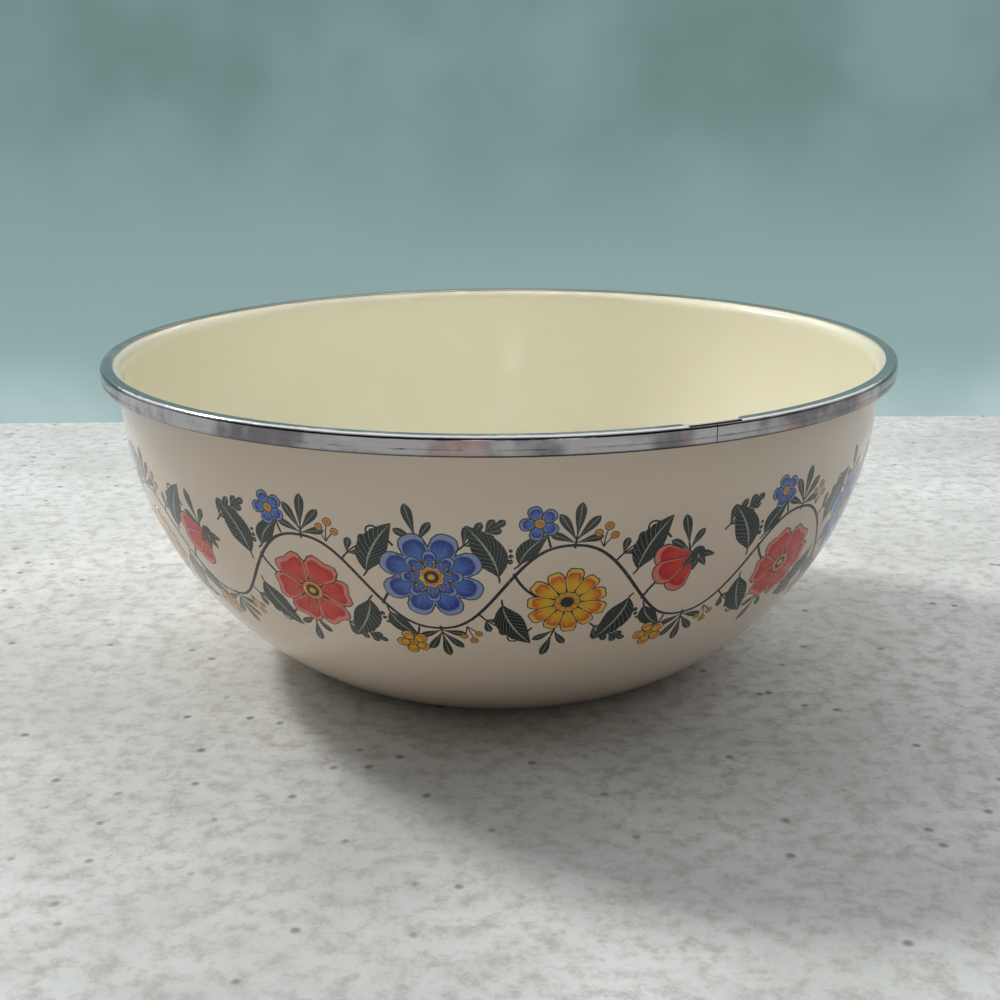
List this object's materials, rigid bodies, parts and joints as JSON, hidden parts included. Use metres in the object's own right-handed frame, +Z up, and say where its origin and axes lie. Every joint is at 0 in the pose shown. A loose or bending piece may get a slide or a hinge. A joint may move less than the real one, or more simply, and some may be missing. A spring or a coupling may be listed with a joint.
{
  "type": "mixing bowl",
  "caption": "Round enamelled steel mixing bowl with a flat base, an upward-curving wall and a stainless strip rolled over its turned rim.",
  "frame": {"origin": "centre of the flat base, in the plane that the bowl stands on", "axes": "+Z up along the bowl's axis; -Y towards the front as pictured, with the rim strip's seam 26 degrees round to the right (+X) of it"},
  "size_m": [0.26, 0.26, 0.1035],
  "materials": {
    "pressed_steel": "bare low-carbon sheet, covered by enamel on both faces",
    "cream_enamel": "glossy cream vitreous enamel",
    "off_white_enamel": "glossy warm off-white vitreous enamel with a printed flower garland",
    "black_enamel": "glossy black beading enamel",
    "stainless_strip": "polished stainless steel with fine rolling marks"
  },
  "bodies": {
    "root": {"steel_shell": "pressed_steel", "interior_enamel": "cream_enamel", "exterior_enamel": "off_white_enamel", "rim_bead": "black_enamel", "rim_band": "stainless_strip"}
  },
  "joints": []
}
